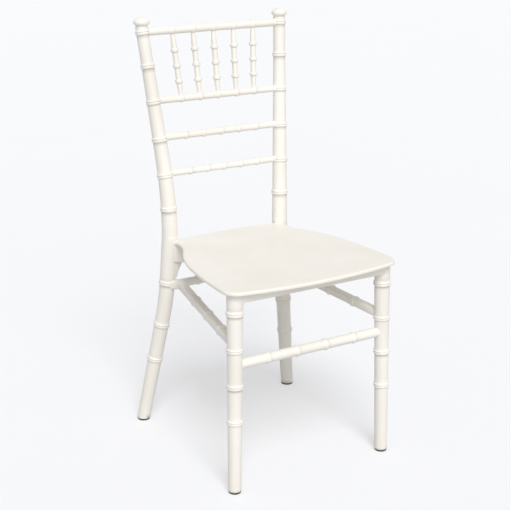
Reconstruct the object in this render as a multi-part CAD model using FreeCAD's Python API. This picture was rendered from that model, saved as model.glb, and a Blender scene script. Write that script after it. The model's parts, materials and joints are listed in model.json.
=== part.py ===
import FreeCAD, Part
import math
import os

# Stacking chiavari chair in moulded resin. Millimetres, +Z up, front towards -Y.
# Origin: middle of the footprint, on the floor. Everything is symmetric about X = 0.
os.makedirs("parts", exist_ok=True)
V = FreeCAD.Vector

# Driving dimensions
OVERALL_HEIGHT = 920.0
FINIAL_HEIGHT = 21.4
FOOT_GLIDE_DROP = 4.0          # how far a glide stands below its leg

# Front legs: nearly upright, drawn in a little towards the seat
FRONT_FOOT = (184.7, -194.2)
FRONT_LEG_LEAN_X = 0.0166      # inward travel per millimetre of height
FRONT_LEG_LEAN_Y = 0.0155      # backward travel per millimetre of height
FRONT_LEG_TOP = 396.5          # shoulder under the seat's front socket
FRONT_LEG_RADII = (13.7, 16.4) # at the floor, at the shoulder
FRONT_RING_BOTTOMS = (152.3, 229.4, 306.6, 383.8)

# Rear line: splayed leg, upright socket, reclined post
REAR_FOOT = (196.9, 214.2)
REAR_SPLAY = (0.1475, 0.1520)  # outward and backward travel per millimetre below the bend
LEG_BEND_LOW = 255.0
SOCKET_LOW = 349.0             # shoulder where the rear leg meets its socket
SOCKET_LOW_XY = (148.7, 166.8)
SOCKET_TOP = 451.0             # seam where the back post meets its socket
SOCKET_TOP_XY = (141.8, 164.3)
SOCKET_RADIUS = 17.5
POST_BEND_TOP = 620.0
POST_RECLINE = (0.0787, 0.1440)
POST_TOP = OVERALL_HEIGHT - FINIAL_HEIGHT
REAR_LEG_RADII = (14.7, 17.4)  # at the floor, at the shoulder
POST_RADII = (17.4, 13.4)      # at the seam, at the top
POST_RING_BOTTOMS = (506.0, 580.3, 658.0, 738.0, 814.5, 886.5)
REAR_LEG_RING_BOTTOMS = (151.0, 236.3, 336.4)

# Bamboo rings: two bands with a groove between them
RING_HEIGHT = 11.0
RING_PROUD = 2.0
RING_GROOVE = 0.5              # what is left of the ring at the bottom of its groove

# Back rails and spindles
RAIL_HEIGHTS = {"lower_back_rail": 587.2, "upper_back_rail": 665.0, "spindle_rail": 745.0, "top_rail": 892.4}
RAIL_RADIUS = 7.3
TOP_RAIL_RADIUS = 7.7
RAIL_RING_PITCH = {"lower_back_rail": 42.4, "upper_back_rail": 44.3, "spindle_rail": 45.5, "top_rail": 50.0}
RAIL_RING_PROUD = 1.6
RAIL_RING_LENGTH = 8.0
SPINDLE_RING_HEIGHTS = (782.8, 815.6, 848.9)
SPINDLE_END_RADIUS = 4.7
SPINDLE_BODY_RADIUS = 6.0
SPINDLE_RING_RADIUS = 8.4

# Stretchers
FRONT_STRETCHER_Z = 279.0
FRONT_STRETCHER_RADIUS = 10.6
FRONT_STRETCHER_RING_PITCH = 69.5
SIDE_STRETCHER_SIZE = (19.0, 17.0)
SIDE_STRETCHER_FRONT = (176.6, -187.7, 318.0)
SIDE_STRETCHER_SLOPE = (-0.143, 0.070)  # inward and upward travel per millimetre backwards
SIDE_STRETCHER_STRAIGHT = 318.0
SIDE_STRETCHER_BEND = 26.0     # bend radius on the centre line, into the rear leg
SIDE_STRETCHER_TURN = 58.0     # degrees
SIDE_STRETCHER_REAR_Z = 338.5  # its top stays just below the rear socket's lower end
REAR_STRETCHER_Z = 333.0
REAR_STRETCHER_SIZE = (15.0, 17.0)

# Seat
SEAT_TOP_MIDDLE = 442.6        # height of the sitting face at Y = 0
SEAT_TILT = 1.0                # degrees, front edge high
SEAT_FRONT_Y = -234.2
SEAT_FRONT_BOW = 28.0          # sagitta of the front edge over the full width
SEAT_HALF_WIDTH = 203.5
SEAT_FRONT_CORNER = 40.0
SEAT_SIDE_RADII = (1000.0, 480.0)  # nearly straight at the front, then drawing in
SEAT_SIDE_CHANGE_Y = -57.7     # where the first side radius gives way to the second
SEAT_REAR_Y = 165.3
SEAT_REAR_BOW = 7.5
SEAT_REAR_HALF = 138.5
SEAT_REAR_CORNER = 14.0
SEAT_PLATE = 5.0
SEAT_RIM_DEPTH = 16.0
SEAT_RIM_WALL = 4.5
SKIRT_WALL = 4.5
FRONT_WALL_Y = -201.7
SIDE_WALL_FRONT_X = 152.8      # the side walls stand well inside the rim
SIDE_WALL_REAR = (121.8, 128.0)
EAR_RADIUS = 20.0              # hollow face from the side wall round to the rear socket
EAR_CENTRE_X = 144.0
SKIRT_BOTTOM_FRONT = 412.0
SKIRT_BOTTOM_REAR = 392.0
REAR_WALL_BOTTOM = 400.0
REAR_ARCH = ((106.0, 400.0), (123.2, 379.0), (132.6, 353.5))  # lower edge of the rear wall, down the socket
RIB_WALL = 3.0
RIB_DEPTH = 14.0

# Joints
SPIGOT_RADIUS = 11.0
SPIGOT_PLAY = 0.15
FRONT_SPIGOT_LENGTH = 36.0
REAR_SPIGOT_LENGTH = 44.0
TENON_RADIUS = 4.6
TENON_DEPTH = 9.0
TOP_TENON_DEPTH = 5.0          # shorter, to stay clear of the finial's plug
TENON_PLAY = 0.10
SCREW_SHANK_RADIUS = 2.6
SCREW_HEAD_RADIUS = 5.4
SCREW_HEAD_HEIGHT = 3.4
SCREW_SEAT_R = 15.2            # the head's seat, measured from the socket's axis


# Centre lines
def frontAxis(z):
    return V(FRONT_FOOT[0] - FRONT_LEG_LEAN_X * z, FRONT_FOOT[1] + FRONT_LEG_LEAN_Y * z, z)


def rearAxis(z):
    """Centre line of the right-hand rear leg, socket and post at height z."""
    if z <= LEG_BEND_LOW:
        return V(REAR_FOOT[0] - REAR_SPLAY[0] * z, REAR_FOOT[1] - REAR_SPLAY[1] * z, z)
    if z < SOCKET_LOW:
        t = (z - LEG_BEND_LOW) / (SOCKET_LOW - LEG_BEND_LOW)
        xy = []
        for k in range(2):
            start = REAR_FOOT[k] - REAR_SPLAY[k] * LEG_BEND_LOW
            drop = start - SOCKET_LOW_XY[k]
            lean = REAR_SPLAY[k] * (SOCKET_LOW - LEG_BEND_LOW)
            xy.append(start - lean * t + (lean - drop) * t * t)
        return V(xy[0], xy[1], z)
    if z <= SOCKET_TOP:
        t = (z - SOCKET_LOW) / (SOCKET_TOP - SOCKET_LOW)
        return V(SOCKET_LOW_XY[0] + (SOCKET_TOP_XY[0] - SOCKET_LOW_XY[0]) * t,
                 SOCKET_LOW_XY[1] + (SOCKET_TOP_XY[1] - SOCKET_LOW_XY[1]) * t, z)
    bend = POST_BEND_TOP - SOCKET_TOP
    s = min(z, POST_BEND_TOP) - SOCKET_TOP
    rest = max(0.0, z - POST_BEND_TOP)
    x = SOCKET_TOP_XY[0] + POST_RECLINE[0] * (s * s / (2.0 * bend) + rest)
    y = SOCKET_TOP_XY[1] + POST_RECLINE[1] * (s * s / (2.0 * bend) + rest)
    return V(x, y, z)


def direction(axis, z):
    d = axis(z + 0.5) - axis(z - 0.5)
    return d.normalize()


def blendRadius(radii, z, zLow, zHigh):
    t = (z - zLow) / (zHigh - zLow)
    return radii[0] + (radii[1] - radii[0]) * t


# Shape helpers
def placeOn(shape, point, along):
    turn = FreeCAD.Rotation(V(0, 0, 1), along)
    out = shape.copy()
    out.Placement = FreeCAD.Placement(point, turn)
    return out


def revolved(outline):
    """Solid of revolution about Z from (radius, height) pairs, closed along the axis."""
    points = [V(r, 0, h) for r, h in outline]
    face = Part.Face(Part.makePolygon(points + [points[0]]))
    return face.revolve(V(0, 0, 0), V(0, 0, 1), 360)


def ringOutline(radius, start):
    """Double ring from its lower edge upwards: band, groove, band, and a slope back to the limb."""
    outline = []
    for proud, low, high in ((RING_PROUD, 0.0, 0.40), (RING_GROOVE, 0.40, 0.50), (RING_PROUD, 0.50, 0.82)):
        outline += [(radius + proud, start + low * RING_HEIGHT), (radius + proud, start + high * RING_HEIGHT)]
    return outline + [(radius + 0.4, start + RING_HEIGHT)]


def turnedRun(axis, low, high, radiusAt, ringBottoms):
    """Straight tapered run of a limb with its rings, square to its own axis at both ends."""
    foot = axis(low)
    reach = lambda z: (axis(z) - foot).Length
    outline = [(0.0, 0.0), (radiusAt(low), 0.0)]
    for z in ringBottoms:
        outline.append((radiusAt(z), reach(z)))
        outline += ringOutline(radiusAt(z), reach(z))
        outline.append((radiusAt(z + RING_HEIGHT), reach(z) + RING_HEIGHT))
    outline += [(radiusAt(high), reach(high)), (0.0, reach(high))]
    return placeOn(revolved(outline), foot, direction(axis, (low + high) / 2.0))


def bentLimb(axis, heights, radiusAt):
    """Bent tapered limb, lofted through circles square to its centre line."""
    wires = []
    for z in heights:
        circle = Part.Wire([Part.makeCircle(radiusAt(z), V(0, 0, 0), V(0, 0, 1))])
        wires.append(placeOn(circle, axis(z), direction(axis, z)))
    return Part.makeLoft(wires, True, True)


def straightLimb(axis, low, high, radiusAt):
    """Straight tapered run of a limb, with no rings."""
    along = axis(high) - axis(low)
    return Part.makeCone(radiusAt(low), radiusAt(high), along.Length, axis(low), along)


def ringDisc(axis, z, radius):
    """A ring with the limb's core inside it, so that a straight and a bent run can meet in it."""
    outline = [(0.0, 0.0)] + ringOutline(radius, 0.0) + [(0.0, RING_HEIGHT)]
    return placeOn(revolved(outline), axis(z), direction(axis, z + RING_HEIGHT / 2.0))


def slab(low, high):
    """Everything between two heights."""
    return Part.makeBox(600, 600, high - low, V(-300, -300, low))


def beadOutline(radius, middle, length, proud):
    """Bead from one side to the other: slope, crown, slope."""
    half = length / 2.0
    return [(radius, middle - half), (radius + proud, middle - 0.5 * half),
            (radius + proud, middle + 0.5 * half), (radius, middle + half)]


def beadedRod(end, radius, beadPlaces, beadLength, proud):
    """Round bar from mirror image to mirror image of a point, with beads at places along it."""
    outline = [(0.0, -end.x), (radius, -end.x)]
    for x in beadPlaces:
        outline += beadOutline(radius, x, beadLength, proud)
    outline += [(radius, end.x), (0.0, end.x)]
    return placeOn(revolved(outline), V(0, end.y, end.z), V(1, 0, 0))


def rod(start, end, radius):
    span = end - start
    return Part.makeCylinder(radius, span.Length, start, span)


def mirrored(shape):
    return shape.mirror(V(0, 0, 0), V(1, 0, 0))


def fuseAll(first, others):
    return first.multiFuse(others).removeSplitter()


def save(name, shape):
    if shape.ShapeType == "Compound" and len(shape.Solids) == 1:
        shape = shape.Solids[0]
    shape.exportStep("parts/" + name + ".step")
    print(name, len(shape.Solids), "solid(s)", round(shape.Volume / 1000.0, 1), "cm3", shape.isValid())


# Front legs
def frontLegRadius(z):
    return blendRadius(FRONT_LEG_RADII, z, 0.0, FRONT_LEG_TOP)


def frontLegBlank():
    run = turnedRun(frontAxis, -4.0, FRONT_LEG_TOP + 3.0, frontLegRadius, FRONT_RING_BOTTOMS)
    return run.common(slab(FOOT_GLIDE_DROP, FRONT_LEG_TOP))


frontSpigot = rod(frontAxis(FRONT_LEG_TOP - 2.0), frontAxis(FRONT_LEG_TOP + FRONT_SPIGOT_LENGTH), SPIGOT_RADIUS)


# Rear legs
def rearLegRadius(z):
    return blendRadius(REAR_LEG_RADII, z, 0.0, SOCKET_LOW)


def rearLegBlank():
    """Straight below its middle ring, bent from there to its top ring, and a short stub above."""
    middle, top = REAR_LEG_RING_BOTTOMS[1:]
    enter, leave = 0.35 * RING_HEIGHT, 0.65 * RING_HEIGHT
    straight = straightLimb(rearAxis, -6.0, middle + enter, rearLegRadius)
    bend = bentLimb(rearAxis, (middle + leave, LEG_BEND_LOW, 278.0, 302.0, 326.0, top + enter), rearLegRadius)
    stub = straightLimb(rearAxis, top + leave, SOCKET_LOW + 3.0, rearLegRadius)
    rings = [ringDisc(rearAxis, z, rearLegRadius(z)) for z in REAR_LEG_RING_BOTTOMS]
    return fuseAll(straight, [bend, stub] + rings).common(slab(FOOT_GLIDE_DROP, SOCKET_LOW))


rearSpigot = rod(rearAxis(SOCKET_LOW) - (rearAxis(SOCKET_LOW + 2.0) - rearAxis(SOCKET_LOW)),
                 rearAxis(SOCKET_LOW + REAR_SPIGOT_LENGTH), SPIGOT_RADIUS)


# Back posts
def postRadius(z):
    return blendRadius(POST_RADII, min(z, 830.0), SOCKET_TOP, 830.0)


def postBlank():
    """Bent between its first and third rings, straight above, and no thinner above its fifth."""
    first, third, fifth = POST_RING_BOTTOMS[0:5:2]
    enter, leave = 0.35 * RING_HEIGHT, 0.65 * RING_HEIGHT
    foot = straightLimb(rearAxis, SOCKET_TOP - 3.0, first + enter, postRadius)
    bend = bentLimb(rearAxis, (first + leave, 549.0, 587.0, POST_BEND_TOP, third + enter), postRadius)
    middle = straightLimb(rearAxis, third + leave, fifth + enter, postRadius)
    top = straightLimb(rearAxis, fifth + leave, POST_TOP + 4.0, postRadius)
    rings = [ringDisc(rearAxis, z, postRadius(z)) for z in POST_RING_BOTTOMS]
    return fuseAll(foot, [bend, middle, top] + rings).common(slab(SOCKET_TOP, POST_TOP))


postSpigot = rod(rearAxis(SOCKET_TOP - REAR_SPIGOT_LENGTH), rearAxis(SOCKET_TOP) * 2.0 - rearAxis(SOCKET_TOP - 2.0),
                 SPIGOT_RADIUS)

frontLeg = frontLegBlank()
rearLeg = rearLegBlank()
post = postBlank()
frontLegLeft = mirrored(frontLeg)
rearLegLeft = mirrored(rearLeg)
postLeft = mirrored(post)


# Back rails
def railShape(name):
    """A round rail between the posts, coped to them, with beads and a tenon at each end."""
    z = RAIL_HEIGHTS[name]
    radius = TOP_RAIL_RADIUS if name == "top_rail" else RAIL_RADIUS
    end = rearAxis(z)
    beadPlaces = [k * RAIL_RING_PITCH[name] for k in range(-2, 3)]
    body = beadedRod(end, radius, beadPlaces, RAIL_RING_LENGTH, RAIL_RING_PROUD).cut(post).cut(postLeft)
    body = max(body.Solids, key=lambda solid: solid.Volume)
    reach = postRadius(z) - tenonDepth(name)
    tenon = rod(V(-end.x + reach, end.y, z), V(end.x - reach, end.y, z), TENON_RADIUS)
    return fuseAll(body, [tenon])


def tenonDepth(name):
    return TOP_TENON_DEPTH if name == "top_rail" else TENON_DEPTH


def tenonHole(name):
    z = RAIL_HEIGHTS[name]
    end = rearAxis(z)
    reach = postRadius(z) - tenonDepth(name) - 0.4
    return rod(V(end.x - 30.0, end.y, z), V(end.x - reach, end.y, z), TENON_RADIUS + TENON_PLAY)


rails = {name: railShape(name) for name in RAIL_HEIGHTS}


# Spindles
def spindleEnds(k):
    low = V(k * RAIL_RING_PITCH["spindle_rail"], rearAxis(RAIL_HEIGHTS["spindle_rail"]).y,
            RAIL_HEIGHTS["spindle_rail"])
    high = V(k * RAIL_RING_PITCH["top_rail"], rearAxis(RAIL_HEIGHTS["top_rail"]).y, RAIL_HEIGHTS["top_rail"])
    return low, high


def spindleShape(k):
    """Turned spindle: slim ends, fuller middle, three rings, pin ends let into both rails."""
    low, high = spindleEnds(k)
    along = high - low
    length = along.Length
    z0 = RAIL_HEIGHTS["spindle_rail"]
    outline = [(0.0, 3.6), (3.4, 3.6), (3.4, 6.5), (SPINDLE_END_RADIUS, 6.5)]
    for z in SPINDLE_RING_HEIGHTS:
        h = (z - z0) / (RAIL_HEIGHTS["top_rail"] - z0) * length
        outline += [(SPINDLE_BODY_RADIUS, h - 3.8), (SPINDLE_RING_RADIUS, h - 3.8),
                    (SPINDLE_RING_RADIUS, h + 3.0), (SPINDLE_BODY_RADIUS, h + 3.0)]
    outline += [(SPINDLE_END_RADIUS + 0.4, length - 6.5), (3.4, length - 6.5), (3.4, length - 3.6),
                (0.0, length - 3.6)]
    return placeOn(revolved(outline), low, along)


def spindleHole(k, atTop):
    low, high = spindleEnds(k)
    along = (high - low).normalize()
    if atTop:
        return rod(high - along * 3.3, high - along * 12.0, 3.4 + TENON_PLAY)
    return rod(low + along * 3.3, low + along * 12.0, 3.4 + TENON_PLAY)


spindles = []
for k in range(-2, 3):
    spindle = spindleShape(k)
    # the thick shoulder stops on the rail's surface, only the pin goes in
    low, high = spindleEnds(k)
    along = (high - low).normalize()
    pin = rod(low + along * 3.6, high - along * 3.6, 3.4)
    blank = spindle.cut(rails["spindle_rail"]).cut(rails["top_rail"])
    blank = max(blank.Solids, key=lambda solid: solid.Volume)
    spindles.append(fuseAll(blank, [pin]))
for k in range(-2, 3):
    rails["spindle_rail"] = rails["spindle_rail"].cut(spindleHole(k, False))
    rails["top_rail"] = rails["top_rail"].cut(spindleHole(k, True))


# Stretchers
def frontStretcherShape():
    end = frontAxis(FRONT_STRETCHER_Z)
    beadPlaces = [k * FRONT_STRETCHER_RING_PITCH for k in (-1.5, -0.5, 0.5, 1.5)]
    body = beadedRod(end, FRONT_STRETCHER_RADIUS, beadPlaces, 9.0, 1.6).cut(frontLeg).cut(frontLegLeft)
    body = max(body.Solids, key=lambda solid: solid.Volume)
    reach = frontLegRadius(FRONT_STRETCHER_Z) - TENON_DEPTH
    tenon = rod(V(-end.x + reach, end.y, end.z), V(end.x - reach, end.y, end.z), TENON_RADIUS + 1.4)
    return fuseAll(body, [tenon])


def frontStretcherHole():
    end = frontAxis(FRONT_STRETCHER_Z)
    reach = frontLegRadius(FRONT_STRETCHER_Z) - TENON_DEPTH - 0.4
    return rod(V(end.x - 30.0, end.y, end.z), V(end.x - reach, end.y, end.z), TENON_RADIUS + 1.4 + TENON_PLAY)


def roundedBar(width, height, corner):
    """Rounded rectangle, as a wire in the XY plane, X wide and Y high."""
    w = width / 2.0
    h = height / 2.0
    q = corner * (1.0 - math.sqrt(0.5))
    edges = [
        Part.LineSegment(V(-w + corner, -h, 0), V(w - corner, -h, 0)).toShape(),
        Part.Arc(V(w - corner, -h, 0), V(w - q, -h + q, 0), V(w, -h + corner, 0)).toShape(),
        Part.LineSegment(V(w, -h + corner, 0), V(w, h - corner, 0)).toShape(),
        Part.Arc(V(w, h - corner, 0), V(w - q, h - q, 0), V(w - corner, h, 0)).toShape(),
        Part.LineSegment(V(w - corner, h, 0), V(-w + corner, h, 0)).toShape(),
        Part.Arc(V(-w + corner, h, 0), V(-w + q, h - q, 0), V(-w, h - corner, 0)).toShape(),
        Part.LineSegment(V(-w, h - corner, 0), V(-w, -h + corner, 0)).toShape(),
        Part.Arc(V(-w, -h + corner, 0), V(-w + q, -h + q, 0), V(-w + corner, -h, 0)).toShape(),
    ]
    return Part.Wire(edges)


def barSection(point, along, width, height, corner):
    """The bar's section at a point: its width stays level, its height stays upright."""
    forward = V(along).normalize()
    side = V(forward.y, -forward.x, 0).normalize()
    up = side.cross(forward)
    wire = roundedBar(width, height, corner)
    turn = FreeCAD.Rotation(side, up, side.cross(up), "ZYX")
    wire.Placement = FreeCAD.Placement(point, turn)
    return wire


def sideStretcherShape():
    """Flat-faced moulding from the front leg, straight, then curving outwards into the rear leg."""
    start = V(*SIDE_STRETCHER_FRONT)
    run = V(SIDE_STRETCHER_SLOPE[0], 1.0, SIDE_STRETCHER_SLOPE[1])
    width, height = SIDE_STRETCHER_SIZE
    bendStart = start + run * SIDE_STRETCHER_STRAIGHT
    legPoint = rearAxis(SIDE_STRETCHER_REAR_Z)
    startAngle = math.atan2(run.y, run.x)
    turn = math.radians(-SIDE_STRETCHER_TURN)
    radius = SIDE_STRETCHER_BEND
    stations = [barSection(start, run, width, height, 5.0), barSection(bendStart, run, width, height, 5.0)]
    centre = bendStart + V(math.sin(startAngle), -math.cos(startAngle), 0) * radius
    for k in range(1, 6):
        angle = startAngle + turn * k / 5.0
        point = centre + V(-math.sin(angle), math.cos(angle), 0) * radius
        point.z = bendStart.z + (legPoint.z - bendStart.z) * k / 5.0
        heading = V(math.cos(angle), math.sin(angle), 0)
        stations.append(barSection(point, heading, width + k, height + 0.4 * k, 5.5))
    last = stations[-1].CenterOfMass
    stations.append(barSection(V(legPoint.x - 2.0, legPoint.y - 3.0, last.z), heading, width + 6.0, height + 2.0, 5.5))
    body = Part.makeLoft(stations, True, True)
    ridges = []
    for s in (75.0, 150.0, 225.0):
        rim = Part.Face(barSection(start + run * s, run, width + 2.4, height + 2.4, 6.0))
        ridges.append(rim.extrude(V(run).normalize() * 7.0))
    return fuseAll(body, ridges)


def rearStretcherShape():
    end = rearAxis(REAR_STRETCHER_Z)
    width, height = REAR_STRETCHER_SIZE
    bar = Part.Face(barSection(V(-end.x, end.y - 1.0, REAR_STRETCHER_Z), V(1, 0, 0), width, height, 4.0))
    body = bar.extrude(V(2.0 * end.x, 0, 0))
    ridges = []
    for x in (-74.0, 0.0, 74.0):
        rim = Part.Face(barSection(V(x - 3.5, end.y - 1.0, REAR_STRETCHER_Z), V(1, 0, 0), width + 2.4, height + 2.4, 5.0))
        ridges.append(rim.extrude(V(7.0, 0, 0)))
    return fuseAll(body, ridges)


sideBlank = sideStretcherShape()
start = V(*SIDE_STRETCHER_FRONT)
sideRun = V(SIDE_STRETCHER_SLOPE[0], 1.0, SIDE_STRETCHER_SLOPE[1]).normalize()
frontTenon = rod(start + sideRun * 4.5, start + sideRun * 30.0, TENON_RADIUS + 0.9)
frontTenonHole = rod(start + sideRun * 4.1, start + sideRun * 40.0, TENON_RADIUS + 0.9 + TENON_PLAY)
legPoint = rearAxis(SIDE_STRETCHER_REAR_Z)
legIn = V(-0.72, -0.69, 0).normalize()
rearTenon = rod(legPoint + legIn * 8.5, legPoint + legIn * 21.0, TENON_RADIUS)
rearTenonHole = rod(legPoint + legIn * 8.1, legPoint + legIn * 30.0, TENON_RADIUS + TENON_PLAY)
sideStretcher = sideBlank.cut(frontLeg).cut(rearLeg)
sideStretcher = max(sideStretcher.Solids, key=lambda solid: solid.Volume)

rearBar = rearStretcherShape().cut(rearLeg).cut(rearLegLeft)
rearBar = max(rearBar.Solids, key=lambda solid: solid.Volume)
rearBar = rearBar.cut(sideStretcher).cut(mirrored(sideStretcher))
rearBar = max(rearBar.Solids, key=lambda solid: solid.Volume)
rearEnd = rearAxis(REAR_STRETCHER_Z)
rearReach = rearLegRadius(REAR_STRETCHER_Z) - TENON_DEPTH
rearBarTenon = rod(V(-rearEnd.x + rearReach, rearEnd.y, REAR_STRETCHER_Z - 1.5),
                   V(rearEnd.x - rearReach, rearEnd.y, REAR_STRETCHER_Z - 1.5), TENON_RADIUS)
rearBarHole = rod(V(rearEnd.x - 30.0, rearEnd.y, REAR_STRETCHER_Z - 1.5),
                  V(rearEnd.x - rearReach + 0.4, rearEnd.y, REAR_STRETCHER_Z - 1.5), TENON_RADIUS + TENON_PLAY)
rearStretcher = fuseAll(rearBar, [rearBarTenon])
sideStretcher = fuseAll(sideStretcher, [frontTenon, rearTenon])
frontStretcher = frontStretcherShape()


# Seat
def tangentCorner(bigRadius, bigCentreY, sideX, radius, back):
    """Round corner inside a big arc about (0, bigCentreY), with an upright tangent at x = sideX."""
    cx = sideX - radius
    reach = bigRadius - radius
    cy = bigCentreY + back * math.sqrt(reach * reach - cx * cx)
    onArc = V(cx * bigRadius / reach, bigCentreY + (cy - bigCentreY) * bigRadius / reach, 0)
    middle = V(sideX, cy, 0) + onArc - V(cx, cy, 0) * 2.0
    middle = V(cx, cy, 0) + middle.normalize() * radius
    return onArc, middle, V(sideX, cy, 0)


def sideArcs(front, rear):
    """Two outward-bowed arcs and a hollow one, tangent to each other, upright at both ends."""
    first, second = SEAT_SIDE_RADII
    a1 = math.asin((SEAT_SIDE_CHANGE_Y - front.y) / first)
    change = V(front.x - first * (1.0 - math.cos(a1)), SEAT_SIDE_CHANGE_Y, 0)
    across = rear.y - change.y + second * math.sin(a1)
    inward = change.x - rear.x + second * (1.0 - math.cos(a1))
    a2 = 2.0 * math.atan2(inward, across)
    hollow = across / math.sin(a2) - second
    arcs = []
    for centre, radius, low, high, sign in (
            (V(front.x - first, front.y, 0), first, 0.0, a1, 1.0),
            (V(change.x - second * math.cos(a1), change.y - second * math.sin(a1), 0), second, a1, a2, 1.0),
            (V(rear.x + hollow, rear.y, 0), hollow, a2, 0.0, -1.0)):
        arcs.append([centre + V(math.cos(t), math.sin(t), 0) * (radius * sign)
                     for t in (low, (low + high) / 2.0, high)])
    return arcs


def seatOutline():
    """Bowed front, round corners, and sides that draw in towards the posts."""
    frontRadius = (SEAT_HALF_WIDTH ** 2 + SEAT_FRONT_BOW ** 2) / (2.0 * SEAT_FRONT_BOW)
    rearRadius = (SEAT_REAR_HALF ** 2 + SEAT_REAR_BOW ** 2) / (2.0 * SEAT_REAR_BOW)
    onFront, frontMiddle, frontSide = tangentCorner(frontRadius, SEAT_FRONT_Y + frontRadius, SEAT_HALF_WIDTH,
                                                    SEAT_FRONT_CORNER, -1)
    onRear, rearMiddle, rearSide = tangentCorner(rearRadius, SEAT_REAR_Y - rearRadius, SEAT_REAR_HALF,
                                                 SEAT_REAR_CORNER, 1)
    flip = lambda p: V(-p.x, p.y, p.z)
    edges = [Part.Arc(flip(onFront), V(0, SEAT_FRONT_Y, 0), onFront).toShape(),
             Part.Arc(onRear, V(0, SEAT_REAR_Y, 0), flip(onRear)).toShape()]
    side = sideArcs(frontSide, rearSide)
    for place in (lambda p: p, flip):
        edges.append(Part.Arc(place(onFront), place(frontMiddle), place(frontSide)).toShape())
        for first, middle, last in side:
            edges.append(Part.Arc(place(first), place(middle), place(last)).toShape())
        edges.append(Part.Arc(place(rearSide), place(rearMiddle), place(onRear)).toShape())
    return Part.Wire(Part.__sortEdges__(edges))


def edgesAt(shape, z):
    return [e for e in shape.Edges if max(abs(v.Z - z) for v in e.Vertexes) < 1e-4
            and abs(e.CenterOfMass.z - z) < 1e-4]


def seatPlate():
    """The sitting plate with its rolled-down rim, open below."""
    outline = seatOutline()
    block = Part.Face(outline).extrude(V(0, 0, -SEAT_RIM_DEPTH))
    # the rim's roll, as three narrow bands that follow the outline
    block = block.makeChamfer(5.0, edgesAt(block, 0.0))
    block = block.makeChamfer(2.2, edgesAt(block, 0.0))
    inner = outline.makeOffset2D(-SEAT_RIM_WALL)
    pocket = Part.Face(inner).extrude(V(0, 0, -SEAT_RIM_DEPTH))
    pocket.translate(V(0, 0, -SEAT_PLATE))
    return block.cut(pocket)


def wall(a, b, zTop, zBottomA, zBottomB, thick):
    """An upright wall from a to b in plan, its lower edge at its own height at each end."""
    along = V(b[0] - a[0], b[1] - a[1], 0)
    length = along.Length
    side = V(-along.y, along.x, 0).normalize() * thick
    corners = [V(a[0], a[1], zTop), V(b[0], b[1], zTop), V(b[0], b[1], zBottomB), V(a[0], a[1], zBottomA)]
    face = Part.Face(Part.makePolygon(corners + [corners[0]]))
    face.translate(side * -0.5)
    return face.extrude(side)


seatUnder = SEAT_TOP_MIDDLE - SEAT_PLATE
plate = seatPlate()
plate.rotate(V(0, 0, 0), V(1, 0, 0), -SEAT_TILT)
plate.translate(V(0, 0, SEAT_TOP_MIDDLE))

frontTop = frontAxis(FRONT_LEG_TOP + 44.0)
rearMid = rearAxis(420.0)
skirtTop = 439.0
walls = []
# front wall, between the front sockets
walls.append(wall((-frontTop.x + 4, FRONT_WALL_Y), (frontTop.x - 4, FRONT_WALL_Y), skirtTop, SKIRT_BOTTOM_FRONT,
                  SKIRT_BOTTOM_FRONT, SKIRT_WALL))
for side in (1, -1):
    walls.append(wall((side * SIDE_WALL_FRONT_X, FRONT_WALL_Y), (side * SIDE_WALL_REAR[0], SIDE_WALL_REAR[1]), 436.5,
                      SKIRT_BOTTOM_FRONT, SKIRT_BOTTOM_REAR, SKIRT_WALL))


def ear():
    """Hollow quarter-round wall that carries the side wall round to the front of the rear socket."""
    height = 436.5 - SKIRT_BOTTOM_REAR
    base = V(EAR_CENTRE_X, SIDE_WALL_REAR[1] - 0.5, SKIRT_BOTTOM_REAR)
    sector = lambda radius: Part.makeCylinder(radius, height, base, V(0, 0, 1), 90)
    quarter = sector(EAR_RADIUS + SKIRT_WALL).cut(sector(EAR_RADIUS))
    quarter.rotate(base, V(0, 0, 1), 90)
    return quarter


def rearWall():
    """Rear wall between the rear sockets; each end sweeps down its socket in an arch."""
    y = rearMid.y - 13.2
    start, foot = REAR_ARCH[0], REAR_ARCH[-1]
    zTop = 436.0
    right = Part.Arc(*[V(x, y, z) for x, z in REAR_ARCH]).toShape()
    left = Part.Arc(*[V(-x, y, z) for x, z in REAR_ARCH]).toShape()
    outer = Part.makePolygon([V(foot[0], y, foot[1]), V(foot[0] + 8, y, foot[1]), V(rearMid.x, y, REAR_WALL_BOTTOM),
                              V(rearMid.x, y, zTop), V(-rearMid.x, y, zTop), V(-rearMid.x, y, REAR_WALL_BOTTOM),
                              V(-foot[0] - 8, y, foot[1]), V(-foot[0], y, foot[1])])
    bottom = Part.LineSegment(V(-start[0], y, start[1]), V(start[0], y, start[1])).toShape()
    face = Part.Face(Part.Wire(Part.__sortEdges__([right, left, bottom] + outer.Edges)))
    return face.extrude(V(0, SKIRT_WALL, 0))


walls += [ear(), mirrored(ear()), rearWall()]

# stiffening ribs under the plate
ribTop = 438.0
for x in (-95.0, 0.0, 95.0):
    walls.append(wall((x, FRONT_WALL_Y + 1.0), (x, rearMid.y - 9.0), ribTop, seatUnder + 3.6 - RIB_DEPTH,
                      seatUnder - 2.8 - RIB_DEPTH, RIB_WALL))
for y in (-85.0, 40.0):
    along = (y - FRONT_WALL_Y) / (SIDE_WALL_REAR[1] - FRONT_WALL_Y)
    reach = SIDE_WALL_FRONT_X + (SIDE_WALL_REAR[0] - SIDE_WALL_FRONT_X) * along
    drop = seatUnder - RIB_DEPTH - y * math.sin(math.radians(SEAT_TILT))
    walls.append(wall((-reach, y), (reach, y), ribTop, drop, drop, RIB_WALL))


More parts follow.
